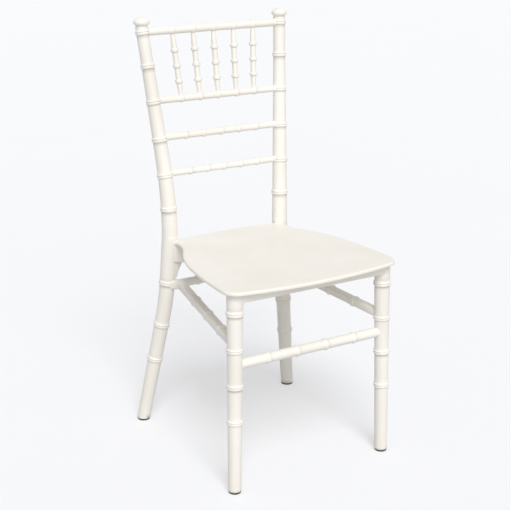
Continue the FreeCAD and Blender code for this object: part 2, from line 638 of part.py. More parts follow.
def frontSocket():
    """Round socket that takes the front leg, blended to the front wall by a hollow web."""
    low = frontAxis(FRONT_LEG_TOP - 3.0)
    high = frontAxis(442.0)
    body = Part.makeCone(FRONT_LEG_RADII[1] + 0.1, FRONT_LEG_RADII[1] + 0.9, (high - low).Length, low, high - low)
    body = body.common(slab(FRONT_LEG_TOP, 442.0))
    c = frontAxis(425.0)
    r = FRONT_LEG_RADII[1]
    web = Part.Wire([
        Part.Arc(V(c.x - 2, c.y - r - 0.2, 0), V(c.x - 13.5, c.y - 15.2, 0), V(c.x - 31, FRONT_WALL_Y - 2.2, 0)).toShape(),
        Part.LineSegment(V(c.x - 31, FRONT_WALL_Y - 2.2, 0), V(c.x - 31, FRONT_WALL_Y + 1.0, 0)).toShape(),
        Part.LineSegment(V(c.x - 31, FRONT_WALL_Y + 1.0, 0), V(c.x - 2, c.y, 0)).toShape(),
        Part.LineSegment(V(c.x - 2, c.y, 0), V(c.x - 2, c.y - r - 0.2, 0)).toShape(),
    ])
    webSolid = Part.Face(web).extrude(V(0, 0, 26.0))
    webSolid.translate(V(0, 0, SKIRT_BOTTOM_FRONT))
    return body, webSolid


def rearSocket():
    low = rearAxis(SOCKET_LOW)
    run = (rearAxis(SOCKET_TOP) - low) * 0.05
    return rod(low - run, rearAxis(SOCKET_TOP) + run, SOCKET_RADIUS).common(slab(SOCKET_LOW, SOCKET_TOP))


pieces = list(walls)
bores = []
frontBody, frontWeb = frontSocket()
rearBody = rearSocket()
frontBore = rod(frontAxis(FRONT_LEG_TOP - 4.0), frontAxis(FRONT_LEG_TOP + FRONT_SPIGOT_LENGTH + 0.5),
                SPIGOT_RADIUS + SPIGOT_PLAY)
socketLow = rearAxis(SOCKET_LOW)
socketTop = rearAxis(SOCKET_TOP)
socketRun = (socketTop - socketLow).normalize()
lowBore = rod(socketLow - socketRun * 4.0, socketLow + socketRun * (REAR_SPIGOT_LENGTH + 0.6), SPIGOT_RADIUS + SPIGOT_PLAY)
highBore = rod(socketTop - socketRun * (REAR_SPIGOT_LENGTH + 0.6), socketTop + socketRun * 4.0, SPIGOT_RADIUS + SPIGOT_PLAY)
for shape in (frontBody, frontWeb, rearBody):
    pieces += [shape, mirrored(shape)]
for shape in (frontBore, lowBore, highBore):
    bores += [shape, mirrored(shape)]


# Locking screws, driven from under the seat: from behind the front sockets, from between the rear ones
def screwPlace(axis, z):
    point = axis(z)
    return point, V(0, 1, 0) if point.y < 0 else V(-1, 0, 0)


def screwShape(point, inward):
    seatAt = point + inward * SCREW_SEAT_R
    shank = rod(point - inward * 4.0, seatAt, SCREW_SHANK_RADIUS)
    head = rod(seatAt, seatAt + inward * SCREW_HEAD_HEIGHT, SCREW_HEAD_RADIUS)
    driver = rod(seatAt + inward * 1.4, seatAt + inward * 6.0, 1.6)
    return fuseAll(head, [shank]).cut(driver)


screws = []
screwHoles = []
headSeats = []
for axis, z in ((frontAxis, 418.0), (rearAxis, 372.0), (rearAxis, 414.0)):
    point, inward = screwPlace(axis, z)
    screw = screwShape(point, inward)
    hole = rod(point - inward * 4.3, point + inward * (SCREW_SEAT_R + 0.01), SCREW_SHANK_RADIUS + 0.05)
    seatCut = rod(point + inward * SCREW_SEAT_R, point + inward * 34.0, SCREW_HEAD_RADIUS + 0.5)
    screws += [screw, mirrored(screw)]
    screwHoles.append(hole)
    headSeats += [seatCut, mirrored(seatCut)]
    bores += [hole, mirrored(hole)]

seat = plate.multiFuse(pieces)
seat = seat.cut(Part.makeCompound(bores)).cut(Part.makeCompound(headSeats))
seat = max(seat.Solids, key=lambda solid: solid.Volume).removeSplitter()

# Finish the limbs: spigots, mortises and screw holes
frontHoles = Part.makeCompound([frontStretcherHole(), frontTenonHole])
frontLegRight = fuseAll(frontLeg.cut(frontHoles), [frontSpigot]).cut(screwHoles[0])
rearHoles = Part.makeCompound([rearTenonHole, rearBarHole])
rearLegRight = fuseAll(rearLeg.cut(rearHoles), [rearSpigot]).cut(screwHoles[1])
railHoles = Part.makeCompound([tenonHole(name) for name in RAIL_HEIGHTS])


# Finials
def finialShape():
    """Flattened mushroom cap on a short neck, with a plug into the post's end."""
    outline = [(0.0, -14.0), (6.0, -14.0), (6.0, 0.0), (12.4, 0.0), (12.0, 3.0), (13.2, 6.0), (16.2, 7.7),
               (17.3, 10.2), (16.9, 13.2), (15.0, 16.2)]
    # the dome is part of a ball about a point on the axis
    rise = FINIAL_HEIGHT - 16.2
    ball = (15.0 ** 2 + rise ** 2) / (2.0 * rise)
    for r in (10.5, 5.0):
        outline.append((r, FINIAL_HEIGHT - ball + math.sqrt(ball ** 2 - r ** 2)))
    outline.append((0.0, FINIAL_HEIGHT))
    return revolved(outline)


topPoint = rearAxis(POST_TOP)
finial = placeOn(finialShape(), topPoint, V(0, 0, 1))
rails["top_rail"] = rails["top_rail"].cut(finial).cut(mirrored(finial))
finialHole = rod(topPoint - V(0, 0, 14.4), topPoint + V(0, 0, 2), 6.0 + TENON_PLAY)
postRight = fuseAll(post.cut(railHoles).cut(finialHole), [postSpigot]).cut(screwHoles[2])


# Foot glides
def glideShape(axis, radius):
    """Thin black disc under the leg, with a plug pushed up into it."""
    top = axis(FOOT_GLIDE_DROP)
    disc = Part.makeCone(radius - 1.0, radius - 0.2, FOOT_GLIDE_DROP, V(top.x, top.y, 0), V(0, 0, 1))
    plug = Part.makeCylinder(5.0, 16.0, V(top.x, top.y, FOOT_GLIDE_DROP - 0.5), V(0, 0, 1))
    return fuseAll(disc, [plug])


def glideHole(axis):
    top = axis(FOOT_GLIDE_DROP)
    return Part.makeCylinder(5.0 + TENON_PLAY, 16.0, V(top.x, top.y, FOOT_GLIDE_DROP - 0.01), V(0, 0, 1))


frontGlide = glideShape(frontAxis, frontLegRadius(FOOT_GLIDE_DROP))
rearGlide = glideShape(rearAxis, rearLegRadius(FOOT_GLIDE_DROP))
frontLegRight = frontLegRight.cut(glideHole(frontAxis))
rearLegRight = rearLegRight.cut(glideHole(rearAxis))

# Output, one file per sub-part; left is -X, the viewer's left
save("seat", seat)
for name, shape in (("front_leg", frontLegRight), ("rear_leg", rearLegRight), ("back_post", postRight),
                    ("finial", finial), ("side_stretcher", sideStretcher), ("foot_glide_front", frontGlide),
                    ("foot_glide_rear", rearGlide)):
    save(name + "_right", shape)
    save(name + "_left", mirrored(shape))
for name in RAIL_HEIGHTS:
    save(name, rails[name])
for k in range(5):
    save("spindle_" + str(k + 1), spindles[k])
save("front_stretcher", frontStretcher)
save("rear_stretcher", rearStretcher)
save("socket_screws", Part.makeCompound(screws))
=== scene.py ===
import json
import math

import bmesh
import bpy
from mathutils import Matrix, Vector


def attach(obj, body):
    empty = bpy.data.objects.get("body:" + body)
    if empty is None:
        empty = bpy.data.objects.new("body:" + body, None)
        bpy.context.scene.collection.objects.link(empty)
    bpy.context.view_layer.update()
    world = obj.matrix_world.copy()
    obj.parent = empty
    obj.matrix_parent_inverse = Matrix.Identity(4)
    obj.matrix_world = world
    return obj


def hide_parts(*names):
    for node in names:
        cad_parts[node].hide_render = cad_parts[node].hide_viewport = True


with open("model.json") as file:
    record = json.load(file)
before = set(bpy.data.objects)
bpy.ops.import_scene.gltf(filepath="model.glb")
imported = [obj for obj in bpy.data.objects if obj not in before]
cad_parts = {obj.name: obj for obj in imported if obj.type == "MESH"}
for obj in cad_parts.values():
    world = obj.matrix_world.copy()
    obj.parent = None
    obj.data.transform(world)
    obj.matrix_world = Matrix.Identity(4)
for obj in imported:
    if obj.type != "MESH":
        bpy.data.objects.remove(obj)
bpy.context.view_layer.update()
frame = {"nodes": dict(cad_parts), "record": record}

# Moulded resin chiavari chair. Metres, +Z up, the front of the seat towards -Y.
print("frame loaded:", len(frame["nodes"]), "nodes")


# Materials
def toLinear(hexColour):
    out = []
    for k in (0, 2, 4):
        v = int(hexColour[k:k + 2], 16) / 255.0
        out.append(v / 12.92 if v <= 0.04045 else ((v + 0.055) / 1.055) ** 2.4)
    return (out[0], out[1], out[2], 1.0)


def addNode(tree, kind, values=None, links=None, **settings):
    node = tree.nodes.new(kind)
    for key, value in settings.items():
        setattr(node, key, value)
    for key, value in (values or {}).items():
        node.inputs[key].default_value = value
    for key, source in (links or {}).items():
        tree.links.new(source, node.inputs[key])
    return node


def startMaterial(name):
    material = bpy.data.materials.new(name)
    material.use_nodes = True
    tree = material.node_tree
    tree.nodes.clear()
    shader = addNode(tree, "ShaderNodeBsdfPrincipled")
    addNode(tree, "ShaderNodeOutputMaterial", links={"Surface": shader.outputs["BSDF"]})
    place = addNode(tree, "ShaderNodeTexCoord").outputs["Object"]
    return material, tree, shader, place


# Ivory polypropylene-type resin, injection moulded in polished tools and coloured right through:
# a clean warm white with a satin gloss, faint flow shading and a barely rippled skin.
ivoryLook = {
    "pale": "F7F3EB",
    "deep": "F1ECE2",
    "flowSize": 0.110,                              # m, soft shading left by the flow of the resin
    "cloudSize": 0.045,                             # m, patches of a little more or less gloss
    "rippleSize": 0.018, "rippleDepth": 0.00005,    # m, sink and cooling ripple
    "peelSize": 0.0030, "peelDepth": 0.00002,       # m, orange peel; really about 1 mm, coarser here so that it shows
    "ior": 1.49,
    "roughness": (0.285, 0.365),
}


def makeIvoryResin():
    look = ivoryLook
    material, tree, shader, place = startMaterial("ivoryMouldedResin")
    flow = addNode(tree, "ShaderNodeTexNoise",
                   {"Scale": 1.0 / look["flowSize"], "Detail": 2.0, "Roughness": 0.45}, {"Vector": place})
    share = addNode(tree, "ShaderNodeMapRange", {"From Min": 0.3, "From Max": 0.7}, {"Value": flow.outputs["Fac"]})
    colour = addNode(tree, "ShaderNodeMix", data_type="RGBA")
    colour.inputs[6].default_value = toLinear(look["deep"])
    colour.inputs[7].default_value = toLinear(look["pale"])
    tree.links.new(share.outputs["Result"], colour.inputs[0])
    tree.links.new(colour.outputs[2], shader.inputs["Base Color"])
    cloud = addNode(tree, "ShaderNodeTexNoise", {"Scale": 1.0 / look["cloudSize"], "Detail": 3.0}, {"Vector": place})
    smooth, dull = look["roughness"]
    rough = addNode(tree, "ShaderNodeMapRange", {"From Min": 0.3, "From Max": 0.7, "To Min": smooth, "To Max": dull},
                    {"Value": cloud.outputs["Fac"]})
    tree.links.new(rough.outputs["Result"], shader.inputs["Roughness"])
    ripple = addNode(tree, "ShaderNodeTexNoise", {"Scale": 1.0 / look["rippleSize"], "Detail": 1.0},
                     {"Vector": place})
    peel = addNode(tree, "ShaderNodeTexNoise", {"Scale": 1.0 / look["peelSize"], "Detail": 2.0}, {"Vector": place})
    broad = addNode(tree, "ShaderNodeBump", {"Strength": 1.0, "Distance": look["rippleDepth"]},
                    {"Height": ripple.outputs["Fac"]})
    fine = addNode(tree, "ShaderNodeBump", {"Strength": 1.0, "Distance": look["peelDepth"]},
                   {"Height": peel.outputs["Fac"], "Normal": broad.outputs["Normal"]})
    tree.links.new(fine.outputs["Normal"], shader.inputs["Normal"])
    shader.inputs["IOR"].default_value = look["ior"]
    return material


# Black polyethylene glide, moulded with a fine spark-eroded grain: dull, with grey scuffs from floors.
glideLook = {"body": "1B1B1C", "scuff": "3A3A3B", "scuffSize": 0.009, "grainSize": 0.0012, "grainDepth": 0.00006,
             "roughness": (0.48, 0.66), "ior": 1.5}


def makeBlackGlide():
    look = glideLook
    material, tree, shader, place = startMaterial("blackMouldedGlide")
    scuff = addNode(tree, "ShaderNodeTexNoise", {"Scale": 1.0 / look["scuffSize"], "Detail": 4.0}, {"Vector": place})
    worn = addNode(tree, "ShaderNodeMapRange", {"From Min": 0.48, "From Max": 0.72}, {"Value": scuff.outputs["Fac"]})
    colour = addNode(tree, "ShaderNodeMix", data_type="RGBA")
    colour.inputs[6].default_value = toLinear(look["body"])
    colour.inputs[7].default_value = toLinear(look["scuff"])
    tree.links.new(worn.outputs["Result"], colour.inputs[0])
    tree.links.new(colour.outputs[2], shader.inputs["Base Color"])
    smooth, dull = look["roughness"]
    rough = addNode(tree, "ShaderNodeMapRange", {"To Min": smooth, "To Max": dull}, {"Value": scuff.outputs["Fac"]})
    tree.links.new(rough.outputs["Result"], shader.inputs["Roughness"])
    grain = addNode(tree, "ShaderNodeTexNoise", {"Scale": 1.0 / look["grainSize"], "Detail": 2.0}, {"Vector": place})
    bump = addNode(tree, "ShaderNodeBump", {"Strength": 1.0, "Distance": look["grainDepth"]},
                   {"Height": grain.outputs["Fac"]})
    tree.links.new(bump.outputs["Normal"], shader.inputs["Normal"])
    shader.inputs["IOR"].default_value = look["ior"]
    return material


# Zinc-plated steel screw, barrel plated and blue passivated: a cool grey metal with a slight bloom.
screwLook = {"metal": "BFC3C8", "bloom": "9EA3A8", "bloomSize": 0.0035, "roughness": (0.30, 0.48)}


def makeZincSteel():
    look = screwLook
    material, tree, shader, place = startMaterial("zincPlatedSteel")
    bloom = addNode(tree, "ShaderNodeTexNoise", {"Scale": 1.0 / look["bloomSize"], "Detail": 3.0}, {"Vector": place})
    colour = addNode(tree, "ShaderNodeMix", data_type="RGBA")
    colour.inputs[6].default_value = toLinear(look["metal"])
    colour.inputs[7].default_value = toLinear(look["bloom"])
    tree.links.new(bloom.outputs["Fac"], colour.inputs[0])
    tree.links.new(colour.outputs[2], shader.inputs["Base Color"])
    bright, dull = look["roughness"]
    rough = addNode(tree, "ShaderNodeMapRange", {"To Min": bright, "To Max": dull}, {"Value": bloom.outputs["Fac"]})
    tree.links.new(rough.outputs["Result"], shader.inputs["Roughness"])
    shader.inputs["Metallic"].default_value = 1.0
    return material


ivoryResin = makeIvoryResin()
blackGlide = makeBlackGlide()
zincSteel = makeZincSteel()
finishes = {"ivory_resin": ivoryResin, "black_glide": blackGlide, "zinc_steel": zincSteel}
for part in frame["record"]["subparts"]:
    mesh = frame["nodes"][part["node"]].data
    mesh.materials.clear()
    mesh.materials.append(finishes[part["material_slot"]])
print("materials made")


# Centre lines of the limbs, as the solids have them
frontLine = {"foot": (0.1847, -0.1942), "lean": (-0.0166, 0.0155), "shoulder": 0.3965}
rearLine = {"foot": (0.1969, 0.2142), "splay": (0.1475, 0.1520), "bendLow": 0.255, "socketLow": 0.349,
            "socketLowAt": (0.1487, 0.1668), "socketTop": 0.451, "socketTopAt": (0.1418, 0.1643),
            "bendTop": 0.620, "recline": (0.0787, 0.1440), "top": 0.8986}


def frontAxis(z):
    (footX, footY), (leanX, leanY) = frontLine["foot"], frontLine["lean"]
    return Vector((footX + leanX * z, footY + leanY * z, z))


def rearAxis(z):
    line = rearLine
    low, top = line["socketLow"], line["socketTop"]
    point = []
    for k in (0, 1):
        foot, splay, slant = line["foot"][k], line["splay"][k], line["recline"][k]
        a, b = line["socketLowAt"][k], line["socketTopAt"][k]
        if z <= line["bendLow"]:
            point.append(foot - splay * z)
        elif z < low:
            t = (z - line["bendLow"]) / (low - line["bendLow"])
            start = foot - splay * line["bendLow"]
            lean = splay * (low - line["bendLow"])
            point.append(start - lean * t + (lean - (start - a)) * t * t)
        elif z <= top:
            point.append(a + (b - a) * (z - low) / (top - low))
        else:
            bend = line["bendTop"] - top
            s = min(z, line["bendTop"]) - top
            point.append(b + slant * (s * s / (2.0 * bend) + max(0.0, z - line["bendTop"])))
    return Vector((point[0], point[1], z))


def blend(pair, z, low, high):
    return pair[0] + (pair[1] - pair[0]) * (z - low) / (high - low)


# A ring runs up from its lower edge: flat band, groove, flat band, and a slope back to the limb.
# Each pair is a height and how far the ring stands out there.
ringLook = {"outline": ((-0.0001, 0.0), (0.0001, 0.0014), (0.0004, 0.0018), (0.0009, 0.0020), (0.0036, 0.0020),
                        (0.0040, 0.0018), (0.0043, 0.0013), (0.0046, 0.0006), (0.0049, 0.0005), (0.0052, 0.0013),
                        (0.0055, 0.0018), (0.0060, 0.0020), (0.0076, 0.0020), (0.0081, 0.0017), (0.0088, 0.0010),
                        (0.0094, 0.0005), (0.0097, 0.0001), (0.0100, 0.0)), "plain": 0.012}


def spread(low, high, step):
    count = max(1, round((high - low) / step))
    return [low + (high - low) * k / count for k in range(count + 1)]


def dress(low, high, step, marks, outline):
    # Distances along a form with the swell at each: plain runs every step, and the outline at each mark
    swells = {}
    for at in spread(low, high, step):
        if all(not mark + outline[0][0] - 0.0005 < at < mark + outline[-1][0] + 0.0005 for mark in marks):
            swells[round(at, 6)] = 0.0
    for mark in marks:
        for along, proud in outline:
            if low < mark + along < high:
                swells[round(mark + along, 6)] = proud
    return sorted(swells.items())


def limbStations(axis, low, high, radiusAt, rings):
    runs = dress(low, high, ringLook["plain"], rings, ringLook["outline"])
    return [(axis(z), radiusAt(z) + swell) for z, swell in runs]


def makeTurnedTree():
    # Sweeps a circle along a line of points, as thick at each point as its girth says
    tree = bpy.data.node_groups.new("turnedForm", "GeometryNodeTree")
    face = tree.interface
    face.new_socket("Geometry", in_out="INPUT", socket_type="NodeSocketGeometry")
    sides = face.new_socket("Sides", in_out="INPUT", socket_type="NodeSocketInt")
    finish = face.new_socket("Finish", in_out="INPUT", socket_type="NodeSocketMaterial")
    face.new_socket("Geometry", in_out="OUTPUT", socket_type="NodeSocketGeometry")
    given = addNode(tree, "NodeGroupInput")
    girth = addNode(tree, "GeometryNodeInputNamedAttribute", {"Name": "girth"}, data_type="FLOAT")
    line = addNode(tree, "GeometryNodeMeshToCurve", links={"Mesh": given.outputs["Geometry"]})
    circle = addNode(tree, "GeometryNodeCurvePrimitiveCircle", {"Radius": 1.0},
                     {"Resolution": given.outputs["Sides"]})
    skin = addNode(tree, "GeometryNodeCurveToMesh", {"Fill Caps": True},
                   {"Curve": line.outputs["Curve"], "Profile Curve": circle.outputs["Curve"],
                    "Scale": girth.outputs["Attribute"]})
    smooth = addNode(tree, "GeometryNodeSetShadeSmooth", links={"Geometry": skin.outputs["Mesh"]})
    real = addNode(tree, "GeometryNodeRealizeInstances", links={"Geometry": smooth.outputs["Geometry"]})
    coat = addNode(tree, "GeometryNodeSetMaterial", links={"Geometry": real.outputs["Geometry"],
                                                          "Material": given.outputs["Finish"]})
    addNode(tree, "NodeGroupOutput", links={"Geometry": coat.outputs["Geometry"]})
    return tree, sides.identifier, finish.identifier


turnedTree, sidesInput, finishInput = makeTurnedTree()


def newPiece(name, mesh):
    piece = bpy.data.objects.new(name, mesh)
    bpy.context.scene.collection.objects.link(piece)
    return piece


def turnedMesh(name, stations, sides=56):
    # Stations are points of the centre line, each with the radius there
    line = bpy.data.meshes.new(name + "Line")
    line.from_pydata([tuple(point) for point, girth in stations],
                     [(k, k + 1) for k in range(len(stations) - 1)], [])
    attribute = line.attributes.new("girth", "FLOAT", "POINT")
    attribute.data.foreach_set("value", [girth for point, girth in stations])
    maker = newPiece(name + "Maker", line)
    modifier = maker.modifiers.new("form", "NODES")
    modifier.node_group = turnedTree
    modifier[sidesInput] = sides
    modifier[finishInput] = ivoryResin
    graph = bpy.context.evaluated_depsgraph_get()
    mesh = bpy.data.meshes.new_from_object(maker.evaluated_get(graph))
    maker.modifiers.remove(modifier)
    bpy.data.objects.remove(maker)
    mesh.name = name
    form = bmesh.new()
    form.from_mesh(mesh)
    bmesh.ops.remove_doubles(form, verts=form.verts, dist=1e-7)
    bmesh.ops.recalc_face_normals(form, faces=form.faces)
    form.to_mesh(mesh)
    form.free()
    return mesh


def trimLevel(mesh, z, keepAbove):
    # Cuts a mesh level and closes the cut
    form = bmesh.new()
    form.from_mesh(mesh)
    cut = bmesh.ops.bisect_plane(form, geom=form.verts[:] + form.edges[:] + form.faces[:], plane_co=(0, 0, z),
                                 plane_no=(0, 0, 1), clear_inner=keepAbove, clear_outer=not keepAbove)
    rim = [edge for edge in cut["geom_cut"] if isinstance(edge, bmesh.types.BMEdge)]
    bmesh.ops.holes_fill(form, edges=rim, sides=0)
    bmesh.ops.recalc_face_normals(form, faces=form.faces)
    form.to_mesh(mesh)
    form.free()


def mirrorMesh(mesh, name):
    other = mesh.copy()
    other.name = name
    form = bmesh.new()
    form.from_mesh(other)
    for vert in form.verts:
        vert.co.x = -vert.co.x
    bmesh.ops.reverse_faces(form, faces=form.faces)
    form.to_mesh(other)
    form.free()
    return other


def settle(piece, *nodes):
    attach(piece, "root")
    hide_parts(*nodes)


def addPair(name, mesh, node):
    settle(newPiece(name + "Right", mesh), node + "_right")
    settle(newPiece(name + "Left", mirrorMesh(mesh, name + "Left")), node + "_left")


# Legs and posts
limbLook = {"frontRadii": (0.0137, 0.0164), "frontRings": (0.1523, 0.2294, 0.3066, 0.3838),
            "rearRadii": (0.0147, 0.0174), "rearRings": (0.1510, 0.2363, 0.3364),
            "postRadii": (0.0174, 0.0134), "postRings": (0.5060, 0.5803, 0.6580, 0.7380, 0.8138, 0.8838),
            "postEven": 0.830,          # above this the post keeps its width
            "glide": 0.004,             # height at which the glide starts
            "frontPast": (0.004, 0.004), "rearPast": (0.006, 0.004), "postPast": 0.003}     # run on into the joints


def makeLimbs():
    look = limbLook
    for name, node, axis, top, end in (("frontLeg", "front_leg", frontAxis, frontLine["shoulder"], "front"),
                                       ("rearLeg", "rear_leg", rearAxis, rearLine["socketLow"], "rear")):
        under, over = look[end + "Past"]
        stations = limbStations(axis, -under, top + over, lambda z: blend(look[end + "Radii"], z, 0.0, top),
                                look[end + "Rings"])
        leg = turnedMesh(name, stations)
        trimLevel(leg, look["glide"], True)
        addPair(name, leg, node)
    seam, even = rearLine["socketTop"], look["postEven"]
    stations = limbStations(rearAxis, seam - look["postPast"], rearLine["top"],
                            lambda z: blend(look["postRadii"], min(z, even), seam, even), look["postRings"])
    addPair("backPost", turnedMesh("backPost", stations), "back_post")


makeLimbs()
print("legs and posts made")


# Finials: a flattened cap on a short neck. The neck is given as radii and heights over the post.
finialLook = {"neck": ((0.0, -0.002), (0.0132, -0.002), (0.0132, 0.0), (0.0130, 0.0012), (0.0128, 0.0028),
                       (0.0129, 0.0044), (0.0137, 0.0058)),
              "edgeMiddle": (0.0134, 0.0108), "edgeReach": (0.0039, 0.0053), "edgeTurn": (-51.5, 64.0, 10.5),
              "height": 0.0214, "domeSteps": 13}
thinnest = 0.0001       # m, the radius at a pole, so that it closes without a spike


def makeFinials():
    look = finialLook
    top = rearAxis(rearLine["top"])
    outline = list(look["neck"])
    # the cap's edge is a half round, its top a shallow dome
    for degrees in spread(*look["edgeTurn"]):
        a = math.radians(degrees)
        outline.append((look["edgeMiddle"][0] + look["edgeReach"][0] * math.cos(a),
                        look["edgeMiddle"][1] + look["edgeReach"][1] * math.sin(a)))
    edge = outline[-1]
    rise = look["height"] - edge[1]
    ball = (edge[0] ** 2 + rise ** 2) / (2.0 * rise)
    for k in range(1, look["domeSteps"] + 1):
        r = edge[0] * (1.0 - k / look["domeSteps"])
        outline.append((max(r, thinnest), look["height"] - ball + math.sqrt(ball ** 2 - r ** 2)))
    stations = [(top + Vector((0, 0, h)), max(r, thinnest)) for r, h in outline]
    addPair("finial", turnedMesh("finial", stations), "finial")


makeFinials()


# Back rails, with beads, let into the posts
railLook = {
    "lower_back_rail": {"height": 0.5872, "radius": 0.0073, "pitch": 0.0424},
    "upper_back_rail": {"height": 0.6650, "radius": 0.0073, "pitch": 0.0443},
    "spindle_rail": {"height": 0.7441, "radius": 0.0073, "pitch": 0.0455},
    "top_rail": {"height": 0.8886, "radius": 0.0082, "pitch": 0.0500},
}
# A bead, from side to side: slope, crown, slope, as shares of its half length and of how far it stands out
beadLook = {"half": 0.0040, "proud": 0.0016, "plain": 0.010, "inset": 0.004,
            "outline": ((-1.0, 0.0), (-0.92, 0.25), (-0.62, 0.85), (-0.45, 1.0), (0.45, 1.0), (0.62, 0.85),
                        (0.92, 0.25), (1.0, 0.0))}


def beadedStations(end, radius, places, half, proud):
    # A round bar across the chair, to a little short of the limbs' centre lines
    outline = [(along * half, rise * proud) for along, rise in beadLook["outline"]]
    end.x -= beadLook["inset"]
    runs = dress(-end.x, end.x, beadLook["plain"], places, outline)
    return [(Vector((x, end.y, end.z)), radius + swell) for x, swell in runs]


def makeRails():
    for node, look in railLook.items():
        places = [k * look["pitch"] for k in (-2, -1, 0, 1, 2)]
        stations = beadedStations(rearAxis(look["height"]), look["radius"], places, beadLook["half"],
                                  beadLook["proud"])
        words = node.split("_")
        name = words[0] + "".join(word.capitalize() for word in words[1:])
        settle(newPiece(name, turnedMesh(name, stations, 40)), node)


makeRails()


# Turned spindles between the two top rails, with square-shouldered rings
spindleLook = {"end": 0.0047, "body": 0.0060, "slimFor": 0.009, "growsFor": 0.022, "inset": 0.002,
               "ringHeights": (0.7810, 0.8136, 0.8467), "plain": 0.003,
               "ring": ((-0.0041, 0.0), (-0.0040, 0.0018), (-0.0037, 0.0024), (-0.0032, 0.0026), (0.0023, 0.0026),
                        (0.0028, 0.0024), (0.0031, 0.0018), (0.0032, 0.0))}


def makeSpindles():
    look = spindleLook
    low, high = railLook["spindle_rail"], railLook["top_rail"]
    for k in range(-2, 3):
        a = Vector((k * low["pitch"], rearAxis(low["height"]).y, low["height"]))
        b = Vector((k * high["pitch"], rearAxis(high["height"]).y, high["height"]))
        length = (b - a).length
        rings = [(h - a.z) / (b.z - a.z) * length for h in look["ringHeights"]]
        stations = []
        slim, grow, inset = look["slimFor"], look["growsFor"], look["inset"]
        for s, swell in dress(inset, length - inset, look["plain"], rings, look["ring"]):
            rise = min(1.0, max(0.0, (s - slim) / grow), max(0.0, (length - slim - s) / grow))
            ease = rise * rise * (3.0 - 2.0 * rise)
            girth = look["end"] + (look["body"] - look["end"]) * ease + swell
            stations.append((a + (b - a) * (s / length), girth))
        name = "spindle" + str(k + 3)
        settle(newPiece(name, turnedMesh(name, stations, 32)), "spindle_" + str(k + 3))


makeSpindles()


# Front stretcher, round, with four beads
frontBarLook = {"height": 0.2790, "radius": 0.0106, "pitch": 0.0695, "half": 0.0045, "proud": 0.0016}


def makeFrontStretcher():
    look = frontBarLook
    places = [k * look["pitch"] for k in (-1.5, -0.5, 0.5, 1.5)]
    stations = beadedStations(frontAxis(look["height"]), look["radius"], places, look["half"], look["proud"])
    settle(newPiece("frontStretcher", turnedMesh("frontStretcher", stations, 48)), "front_stretcher")


makeFrontStretcher()
print("rails, spindles, finials and front stretcher made")


# Lofted forms
def finishForm(form, name, sharpest=34.0):
    bmesh.ops.remove_doubles(form, verts=form.verts, dist=1e-7)
    bmesh.ops.recalc_face_normals(form, faces=form.faces)
    mesh = bpy.data.meshes.new(name)
    form.to_mesh(mesh)
    form.free()
    mesh.materials.append(ivoryResin)
    mesh.shade_smooth()
    mesh.set_sharp_from_angle(angle=math.radians(sharpest))
    return mesh


def loftMesh(name, loops, ease=0.0, easedFrom=40.0):
    # Closed form from loops of equal length, with a face over each end and its sharp edges eased where asked
    form = bmesh.new()
    rows = [[form.verts.new(point) for point in loop] for loop in loops]
    count = len(rows[0])
    for first, second in zip(rows, rows[1:]):
        for k in range(count):
            form.faces.new((first[k], first[(k + 1) % count], second[(k + 1) % count], second[k]))
    form.faces.new(rows[0])
    form.faces.new(rows[-1])
    if ease:
        bmesh.ops.recalc_face_normals(form, faces=form.faces)
        sharp = [edge for edge in form.edges if edge.calc_face_angle(0.0) > math.radians(easedFrom)]
        bmesh.ops.bevel(form, geom=sharp, offset=ease, segments=2, profile=0.5, affect="EDGES", clamp_overlap=True)
    return finishForm(form, name)


# Side and rear stretchers: flat-faced mouldings with eased edges and three raised bands each.
# A side one runs straight from the front leg, then turns into the rear leg and swells there.
barLook = {"corner": 0.0045, "step": 0.02, "bandProud": 0.0012,
           "band": ((-0.0041, 0.0), (-0.0038, 0.5), (-0.0033, 0.9), (-0.0027, 1.0), (0.0027, 1.0), (0.0033, 0.9),
                    (0.0038, 0.5), (0.0041, 0.0)),
           "sideSize": (0.0190, 0.0170), "sideStart": (0.1766, -0.1877, 0.3180), "sideSlope": (-0.143, 1.0, 0.070),
           "sideStraight": 0.318, "sideBend": 0.026, "sideTurn": -58.0, "sideTurnSteps": 12,
           "sideSwell": (0.0025, 0.0010), "sideEndHeight": 0.3385, "sideEndInset": (0.002, 0.003),
           "sideEndSwell": (0.0030, 0.0010), "sideBands": (0.0785, 0.1535, 0.2285),
           "rearSize": (0.0150, 0.0170), "rearHeight": 0.3330, "rearInset": 0.006, "rearForward": 0.001,
           "rearBands": (-0.074, 0.0, 0.074)}


def barMesh(name, sections):
    # Joins rounded rectangles, each given by its middle, its heading, its half width and its half height
    corner = barLook["corner"]
    loops = []
    for middle, heading, w, h in sections:
        forward = heading.normalized()
        side = Vector((forward.y, -forward.x, 0.0)).normalized()
        up = side.cross(forward)
        loop = []
        for quarter, (sx, sy) in enumerate(((1, 1), (-1, 1), (-1, -1), (1, -1))):
            for k in range(6):
                t = math.radians(90.0 * quarter + 18.0 * k)
                x = sx * (w - corner) + corner * math.cos(t)
                y = sy * (h - corner) + corner * math.sin(t)
                loop.append(middle + side * x + up * y)
        loops.append(loop)
    return loftMesh(name, loops)


